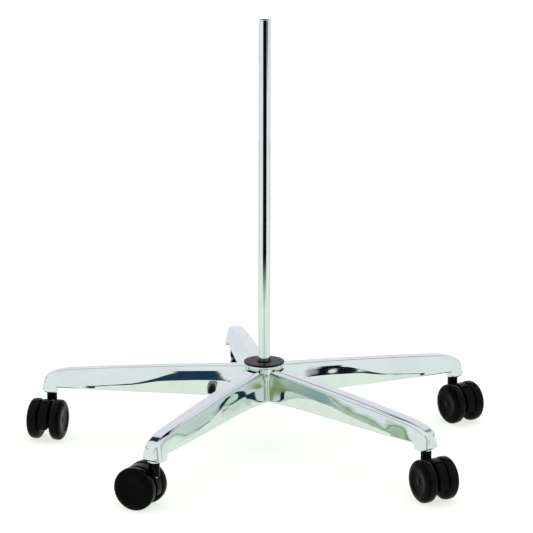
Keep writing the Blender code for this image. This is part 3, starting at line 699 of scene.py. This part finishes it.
def bolt_mesh():
    """A hexagon whose corners are turned off on one side, joined to a plain shank."""
    low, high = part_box("post_bolt")
    foot, head_top, flat = low[2], low[2] + BOLT["head"], BOLT["across_flats"] / 2
    corner = flat / math.cos(math.pi / 6)
    hexagon = [(corner * math.cos(turn), corner * math.sin(turn)) for turn in spread(0.0, math.tau, 6)[:-1]]
    head = loft([[(x, y, z) for x, y in hexagon] for z in (foot, head_top)])
    beyond = corner + 0.001
    crown = [(0.0, head_top), (beyond, head_top), (beyond, foot + BOLT["chamfer"]), (flat * 0.97, foot),
             (0.0, foot)]
    head = combine(head, lathe(crown, 72), "INTERSECT")
    inside_head = foot + 0.003
    shank = soften([(0.0, high[2], 0), (BOLT["radius"], high[2], 0.0008),
                    (BOLT["radius"], inside_head, 0), (0.0, inside_head, 0)])
    return combine(head, lathe(shank, 48), "UNION")


on_hub("bolt", bolt_mesh(), ZINC, "post_bolt")

# %% Split rings: the spring washer and the grip rings
def split_ring(inner, outer, low, high, opening, steps=48):
    """A flat ring with a slot; its section is carried round from one side of the slot to the other."""
    section = soften([(outer, high, 0.0002), (outer, low, 0.0002), (inner, low, 0.0002),
                      (inner, high, 0.0002)], 2)
    rings = []
    for turn in spread(opening / 2, math.tau - opening / 2, steps):
        rings.append([(r * math.cos(turn), r * math.sin(turn), z) for r, z in section])
    return loft(rings)


low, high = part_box("spring_washer")
on_hub("lock_washer", split_ring(BOLT_HOLE, 0.0072, low[2], high[2], math.radians(24)), SPRING_STEEL,
       "spring_washer")

# %% [markdown]
# ## Casters
# A twin-wheel caster has a hood with a round neck, two fat wheels with domed shoulders, and a band
# of tread round each. In the photograph the hood and the wheels make one rounded drum, nearly black,
# so the outline does most of the work: the shoulder is a superellipse, which is boxier than a
# circle, and the tread stands a hair proud with a groove on each side.

# %% Profile of a wheel
WHEEL = {"radius": 0.0275, "inner": 0.0068, "outer": 0.0240, "drop": 0.0118, "power": 3.3,
         "tread_seat": 0.0222, "tread_inner": 0.0086, "tread_outer": 0.0200}
AXLE_RADIUS, AXLE_HALF, AXLE_HEIGHT = 0.0030, 0.0175, WHEEL["radius"]
# the wheel's face, from its middle outwards: radius, distance from the middle of the caster
FACE = [(0.0, 0.0226), (0.0030, 0.0226), (0.0042, 0.0221), (0.0060, 0.0219), (0.0100, 0.0221),
        (0.0145, 0.0227), (0.0152, 0.0232), (0.0158, 0.0237)]


def tyre_radius(offset):
    middle = (WHEEL["inner"] + WHEEL["outer"]) / 2
    half = (WHEEL["outer"] - WHEEL["inner"]) / 2
    share = min(1.0, abs(offset - middle) / half)
    return WHEEL["radius"] - WHEEL["drop"] * (1.0 - math.sqrt(1.0 - share ** WHEEL["power"]))


def wheel_outline():
    inner, outer, seat = WHEEL["inner"], WHEEL["outer"], WHEEL["tread_seat"]
    groove, hair = WHEEL["tread_outer"] + 0.0005, 0.0001
    points = list(FACE)
    for share in spread(0.0, 1.0, 12)[1:]:
        offset = outer - hair - (outer - groove) * share ** 1.6
        points.append((max(0.0162, tyre_radius(offset) - hair), offset))
    points += [(tyre_radius(groove) - 0.0006, groove - hair), (seat, groove - 2 * hair),
               (seat, WHEEL["tread_inner"] - 2 * hair)]
    points += [(tyre_radius(offset) - hair, offset)
               for offset in spread(WHEEL["tread_inner"] - 0.0003, inner, 5)]
    recess = inner + 0.0012
    points += [(0.0125, inner), (0.0118, recess), (0.0070, recess), (0.0064, inner),
               (AXLE_RADIUS + GAP, inner), (AXLE_RADIUS + GAP, AXLE_HALF + GAP), (0.0, AXLE_HALF + GAP)]
    return points


def tread_outline():
    inner, outer = WHEEL["tread_inner"], WHEEL["tread_outer"]
    seat, edge, lowered = WHEEL["tread_seat"] + GAP, 0.0003, 0.0004
    points = [(seat, outer), (tyre_radius(outer) - lowered, outer)]
    points += [(tyre_radius(offset), offset) for offset in spread(outer - edge, inner + edge, 14)]
    return points + [(tyre_radius(inner) - lowered, inner), (seat, inner)]

# %% The hood and its neck
HOOD = {"radius": 0.0268, "half": 0.0063, "end": -18.0, "housing": 0.0110, "housing_start": 222.0,
        "housing_end": 318.0, "neck": 0.0069, "neck_foot": 0.0425, "edge": 0.0012, "edge_steps": 5}
STEM_HOLE = {"radius": 0.0043, "foot": 0.0337}


def hood_arc(radius, start, end, steps):
    """Points round the axle, from one angle to another in degrees."""
    turns = spread(math.radians(start), math.radians(end), steps)
    return [Vector((TRAIL + radius * math.cos(turn), AXLE_HEIGHT + radius * math.sin(turn)))
            for turn in turns]


def hood_mesh():
    """Side plate with a bevelled rim, joined to the neck. The swivel axis is at the origin."""
    outline = hood_arc(HOOD["radius"], HOOD["end"], 180.0 - HOOD["end"], 72)
    outline += hood_arc(HOOD["housing"], HOOD["housing_start"], HOOD["housing_end"], 18)
    profile = [(HOOD["edge"] * (1 - math.sin(turn)), HOOD["half"] - HOOD["edge"] * (1 - math.cos(turn)))
               for turn in spread(0.0, math.pi / 2, HOOD["edge_steps"])]
    centre = Vector((TRAIL, AXLE_HEIGHT))
    rings = []
    for inset, depth in profile + [(inset, -depth) for inset, depth in profile[::-1]]:
        ring = []
        for spot in outline:
            inward = centre - spot
            inner = spot + inward.normalized() * min(inset, inward.length * 0.5)
            ring.append((inner.x, depth, inner.y))
        rings.append(ring)
    neck_top = SOCKET["foot"] - 0.0005
    neck = soften([(0.0, neck_top, 0), (HOOD["neck"], neck_top, 0.0005),
                   (HOOD["neck"], HOOD["neck_foot"], 0), (0.0, HOOD["neck_foot"], 0)])
    hood = combine(loft(rings), lathe(neck, 64), "UNION")
    radius, foot, top = STEM_HOLE["radius"], STEM_HOLE["foot"], neck_top + 0.003
    hood = combine(hood, lathe([(0.0, top), (radius, top), (radius, foot), (0.0, foot)], 40), "DIFFERENCE")
    across_hood = Matrix.Translation((TRAIL, 0.0, AXLE_HEIGHT)) @ Matrix.Rotation(math.pi / 2, 4, "X")
    radius = AXLE_RADIUS + GAP
    bore = lathe([(0.0, 0.02), (radius, 0.02), (radius, -0.02), (0.0, -0.02)], 40)
    return combine(hood, bore, "DIFFERENCE", across_hood)

# %% Meshes shared by the five casters
def stem_outline():
    """The upper pin sits in the arm's socket, with a groove for the grip ring; the lower in the neck."""
    low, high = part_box("right_caster_stem")
    top, foot, seat = high[2], low[2], SOCKET["foot"] - 0.0005 + GAP
    upper, lower, groove, edge = 0.0055, 0.0040, 0.0046, 0.0002
    groove_top, groove_foot = top - 0.0060, top - 0.0094
    return soften([(0.0, top, 0), (upper, top, 0.0012), (upper, groove_top, edge),
                   (groove, groove_top, edge), (groove, groove_foot, edge), (upper, groove_foot, edge),
                   (upper, seat, 0.0003), (lower, seat, 0), (lower, foot, 0.0005), (0.0, foot, 0)])


low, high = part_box("right_caster_grip_ring")
grip_ring = split_ring(0.0049, 0.0058, low[2], high[2], math.radians(60))
axle_pin = soften([(0.0, AXLE_HALF, 0), (AXLE_RADIUS, AXLE_HALF, 0.0005),
                   (AXLE_RADIUS, -AXLE_HALF, 0.0005), (0.0, -AXLE_HALF, 0)])
CASTER_MESHES = {
    "hood": (hood_mesh(), HOOD_BLACK, "black_nylon"),
    "stem": (lathe(stem_outline(), 48), ZINC, "zinc_steel"),
    "grip_ring": (grip_ring, SPRING_STEEL, "dark_steel"),
    "axle": (lathe(axle_pin, 40), ZINC, "zinc_steel"),
    "wheel": (lathe(wheel_outline(), 96), WHEEL_BLACK, "black_nylon"),
    "tread": (lathe(tread_outline(), 96), TREAD_BLACK, "black_tread"),
}
print("caster faces:", {key: len(value[0].polygons) for key, value in CASTER_MESHES.items()})

# %% Put the five casters under the arms
for name, spot in CASTERS.items():
    stand = Matrix.Translation(spot["stem"]) @ Matrix.Rotation(spot["trail"], 4, "Z")
    axle_line = stand @ Matrix.Translation((TRAIL, 0.0, AXLE_HEIGHT))
    faces_out = {side: axle_line @ Matrix.Rotation(tilt, 4, "X")
                 for side, tilt in (("a", -math.pi / 2), ("b", math.pi / 2))}
    swivel = name + "_swivel"
    # mesh, ending of the piece's name, body, place
    parts = [("hood", "", swivel, stand), ("stem", "", swivel, stand), ("grip_ring", "", "base", stand),
             ("axle", "", swivel, faces_out["b"])]
    for side, place in faces_out.items():
        parts += [(part, "_" + side, name + "_wheel_" + side, place) for part in ("wheel", "tread")]
    for part, ending, body, place in parts:
        mesh, finish, slot = CASTER_MESHES[part]
        stands_for = (name + "_caster_" + part + ending,)
        add_piece(name + "_" + part + ending, mesh.copy(), finish, body, stands_for, place)

# %% [markdown]
# ## Camera
# The photograph was taken from about three metres away and a metre up, with a long lens: the tube
# hardly tapers and the arms look almost level. The numbers come from fitting a pinhole camera to
# points on the arms, tube and casters.

# %% Set the camera
camera_data = bpy.data.cameras.new("photo_camera")
camera_data.sensor_width = 36.0
camera_data.lens = 168.8
PAN, TILT, ROLL = math.radians(0.052), math.radians(-13.55), math.radians(0.12)
CAMERA_AHEAD, CAMERA_HEIGHT = 3.2044, 1.0191
stand = (Matrix.Translation((HUB.x, HUB.y - CAMERA_AHEAD, CAMERA_HEIGHT))
         @ Matrix.Rotation(-PAN, 4, "Z") @ Matrix.Rotation(math.pi / 2 + TILT, 4, "X")
         @ Matrix.Rotation(ROLL, 4, "Z"))
bpy.context.scene.camera = new_object("photo_camera", camera_data, stand)

# %% [markdown]
# ## Studio
# A mirror has no look of its own: chrome shows the room. Here the room is a white tent on a pale
# floor. Windows low down in the tent stand for what was round the photographer: dark ones draw the
# long streaks on the arms, olive and steel blue ones tint the sides near the hub. A dark gap high
# up behind draws the fine lines along the rounded edges. A black flag close in front of the tube
# draws the crisp line down it, as it does for a real product photographer. All of these are seen
# only in reflections: the camera and the soft light on the floor meet a plain white room.

# %% Group: a soft-edged window in the sky
sky_window, source, sink = new_group(
    "sky_window", [("Direction", VECTOR, None), ("Towards", VECTOR, (1.0, 0.0, 0.0)),
                   ("Half Width", FLOAT, 20.0), ("Low", FLOAT, 0.0), ("High", FLOAT, 10.0),
                   ("Edge", FLOAT, 2.0)], [("Mask", FLOAT)])


def sky_math(operation, *values):
    return reckon(sky_window, operation, *values)


apart = add_node(sky_window, "ShaderNodeSeparateXYZ", Vector=source["Direction"])
level = add_node(sky_window, "ShaderNodeCombineXYZ", X=apart["X"], Y=apart["Y"])
compass = add_node(sky_window, "ShaderNodeVectorMath", {"operation": "NORMALIZE"}, i0=level["Vector"])
along = add_node(sky_window, "ShaderNodeVectorMath", {"operation": "DOT_PRODUCT"}, i0=compass["Vector"],
                 i1=source["Towards"])
to_degrees = math.degrees(1.0)
turned = sky_math("ARCCOSINE", sky_math("MINIMUM", along["Value"], 1.0))
inside = sky_math("SUBTRACT", source["Half Width"], sky_math("MULTIPLY", turned, to_degrees))
raised = sky_math("MULTIPLY", sky_math("ARCSINE", apart["Z"]), to_degrees)
above = sky_math("SUBTRACT", raised, source["Low"])
below = sky_math("SUBTRACT", source["High"], raised)
mask = 1.0
for margin, edge in ((inside, sky_math("MULTIPLY", source["Edge"], 2.0)), (above, source["Edge"]),
                     (below, source["Edge"])):
    share = ramp(sky_window, margin, sky_math("MULTIPLY", edge, -1.0), edge)
    mask = sky_math("MULTIPLY", share, mask)
sky_window.links.new(mask, sink["Mask"])

# %% World: a white tent with windows low down
world = bpy.data.worlds.new("white_tent")
bpy.context.scene.world = world
world.use_nodes = True
tree = world.node_tree
tree.nodes.clear()
way = add_node(tree, "ShaderNodeTexCoord")["Generated"]
axes = add_node(tree, "ShaderNodeSeparateXYZ", Vector=way)
TENT_BACK, TENT_FRONT = (0.93, 0.90, 0.99, 1.0), (0.99, 1.00, 1.02, 1.0)
sky = blend_colours(tree, ramp(tree, axes["Y"], -0.5, 0.5), TENT_FRONT, TENT_BACK)
# name: compass direction, half width, low and high edge, softness in degrees, then the colour
WINDOWS = {"olive_high": (276, 16, 11.0, 42, 2.5, (0.42, 0.50, 0.27, 1.0)),
           "olive_low": (288, 7, -9, 14, 2.0, (0.36, 0.43, 0.22, 1.0)),
           "olive_left": (258, 8, 10.6, 26, 1.5, (0.42, 0.50, 0.27, 1.0)),
           "steel_front": (300, 6, -9, 20, 2.0, (0.48, 0.57, 0.62, 1.0)),
           "blue_dark_left": (254, 15, -9, 3.4, 1.2, (0.016, 0.044, 0.085, 1.0)),
           "dark_front": (276, 8, -9, 3.0, 1.5, (0.010, 0.014, 0.018, 1.0)),
           "dark_right": (326, 9, -9, 1.1, 0.9, (0.006, 0.008, 0.012, 1.0)),
           "side_strip_left": (184, 24, 12, 16, 1.0, (0.020, 0.024, 0.024, 1.0)),
           "side_strip_right": (30, 24, 12, 16, 1.0, (0.020, 0.024, 0.024, 1.0))}
for label, (bearing, half, low, high, edge, colour) in WINDOWS.items():
    towards = (math.cos(math.radians(bearing)), math.sin(math.radians(bearing)), 0.0)
    window = add_node(tree, "ShaderNodeGroup", {"node_tree": sky_window, "label": label}, Direction=way,
                      Towards=towards, Half_Width=half, Low=low, High=high, Edge=edge)
    sky = blend_colours(tree, window["Mask"], sky, colour)

# %% World: the dark gap overhead, and plain white for the camera
GAP_FOOT, GAP_HEAD, GAP_DARK = (46, 51), (65, 60), (0.030, 0.030, 0.034, 1.0)
rise = reckon(tree, "ARCTAN2", axes["Z"], axes["Y"])
sides = reckon(tree, "ABSOLUTE", axes["X"])
gap = ramp(tree, sides, 0.58, 0.37, 0.06)
for low, high in (GAP_FOOT, GAP_HEAD):
    gap = reckon(tree, "MULTIPLY", gap, ramp(tree, rise, math.radians(low), math.radians(high)))
sky = blend_colours(tree, gap, sky, GAP_DARK)
path = add_node(tree, "ShaderNodeLightPath")
plain = reckon(tree, "MAXIMUM", path["Is Camera Ray"], path["Is Diffuse Ray"])
sky = blend_colours(tree, plain, sky, (1.0, 1.0, 1.0, 1.0))
background = add_node(tree, "ShaderNodeBackground", Color=sky, Strength=1.0)
add_node(tree, "ShaderNodeOutputWorld", Surface=background["Background"])
print("windows in the tent:", list(WINDOWS))

# %% [markdown]
# The floor is a wide sheet that glows softly, so it stays pale to the horizon. A mirror would show
# that sheet far too evenly, so mirrors see it greener in front, lavender behind and steel blue just
# ahead of the tube, and past 2.2 m they see through it to the tent.

# %% Floor
def flat_sheet(name, half_width, half_height, place=Matrix.Identity(4)):
    """A rectangle in its own XY plane, as an object of the scene."""
    mesh = bpy.data.meshes.new(name)
    corners = [(x * half_width, y * half_height, 0) for x, y in ((-1, -1), (1, -1), (1, 1), (-1, 1))]
    mesh.from_pydata(corners, [], [(0, 1, 2, 3)])
    return new_object(name, mesh, place)


FLOOR_REACH, MIRRORED_REACH, FLOOR_GLOW = 30.0, 2.2, (0.98, 1.0, 0.96, 1.0)
floor = flat_sheet("floor", FLOOR_REACH, FLOOR_REACH)
finish, tree, shader, where = new_finish("pale_floor", Roughness=0.8, Specular_IOR_Level=0.0,
                                         Emission_Strength=0.72)
tree.links.new(blend_colours(tree, noise(tree, where, 260.0, 4.0), (0.30, 0.32, 0.29, 1.0),
                             (0.36, 0.38, 0.35, 1.0)), shader.inputs["Base Color"])
spot = add_node(tree, "ShaderNodeSeparateXYZ", Vector=where)
mirrored_tone = blend_colours(tree, ramp(tree, spot["Y"], 0.10, 0.60), (0.84, 0.88, 0.85, 1.0),
                              (0.60, 0.62, 0.72, 1.0))
aside = reckon(tree, "ABSOLUTE", reckon(tree, "SUBTRACT", spot["X"], HUB.x + 0.03))
strip = reckon(tree, "MULTIPLY", ramp(tree, aside, 0.16, 0.10), ramp(tree, spot["Y"], -0.30, -0.45))
mirrored_tone = blend_colours(tree, strip, mirrored_tone, (0.36, 0.46, 0.52, 1.0))
in_mirrors = add_node(tree, "ShaderNodeLightPath")["Is Glossy Ray"]
tree.links.new(blend_colours(tree, in_mirrors, FLOOR_GLOW, mirrored_tone), shader.inputs["Emission Color"])

# %% Where the floor is not there: from below, and far off in mirrors
distance = add_node(tree, "ShaderNodeVectorMath", {"operation": "LENGTH"}, i0=where)
far_off = reckon(tree, "GREATER_THAN", distance["Value"], MIRRORED_REACH)
from_below = add_node(tree, "ShaderNodeNewGeometry")["Backfacing"]
absent = reckon(tree, "MAXIMUM", reckon(tree, "MULTIPLY", in_mirrors, far_off), from_below)
clear = add_node(tree, "ShaderNodeBsdfTransparent")["BSDF"]
mix_surfaces(tree, absent, shader.outputs["BSDF"], clear)
floor.data.materials.append(finish)

# %% Soft light from above
lamp_data = bpy.data.lights.new("overhead", "AREA")
lamp_data.shape = "RECTANGLE"
lamp_data.size, lamp_data.size_y = 2.4, 2.4
lamp_data.energy = 14.0
lamp = new_object("overhead", lamp_data, Matrix.Translation((0.0, 0.0, 2.4)))
lamp.visible_glossy = False

# %% The black flag in front of the tube
FLAG = {"width": 0.205, "height": 0.458, "fade": 0.087, "right": 0.023, "ahead": 0.15, "middle": 0.371}
stand = Matrix.LocRotScale(Vector((HUB.x + FLAG["right"], HUB.y - FLAG["ahead"], FLAG["middle"])),
                           Vector((0.0, FLAG["ahead"], 0.0)).to_track_quat("Z", "Y"), None)
flag = flat_sheet("black_flag", FLAG["width"] / 2, FLAG["height"] / 2, stand)
finish, tree, shader, where = new_finish("black_flag")
tree.nodes.remove(shader)
up = add_node(tree, "ShaderNodeSeparateXYZ", Vector=where)["Y"]
solid = ramp(tree, up, -FLAG["height"] / 2, FLAG["fade"] - FLAG["height"] / 2)
black = add_node(tree, "ShaderNodeEmission", Color=(0.004, 0.005, 0.008, 1.0), Strength=1.0)
clear = add_node(tree, "ShaderNodeBsdfTransparent")["BSDF"]
mix_surfaces(tree, solid, clear, black["Emission"])
flag.data.materials.append(finish)
flag.visible_camera = flag.visible_diffuse = flag.visible_shadow = False

# %% Plain colour handling
bpy.context.scene.view_settings.view_transform = "Standard"
bpy.context.scene.view_settings.look = "None"
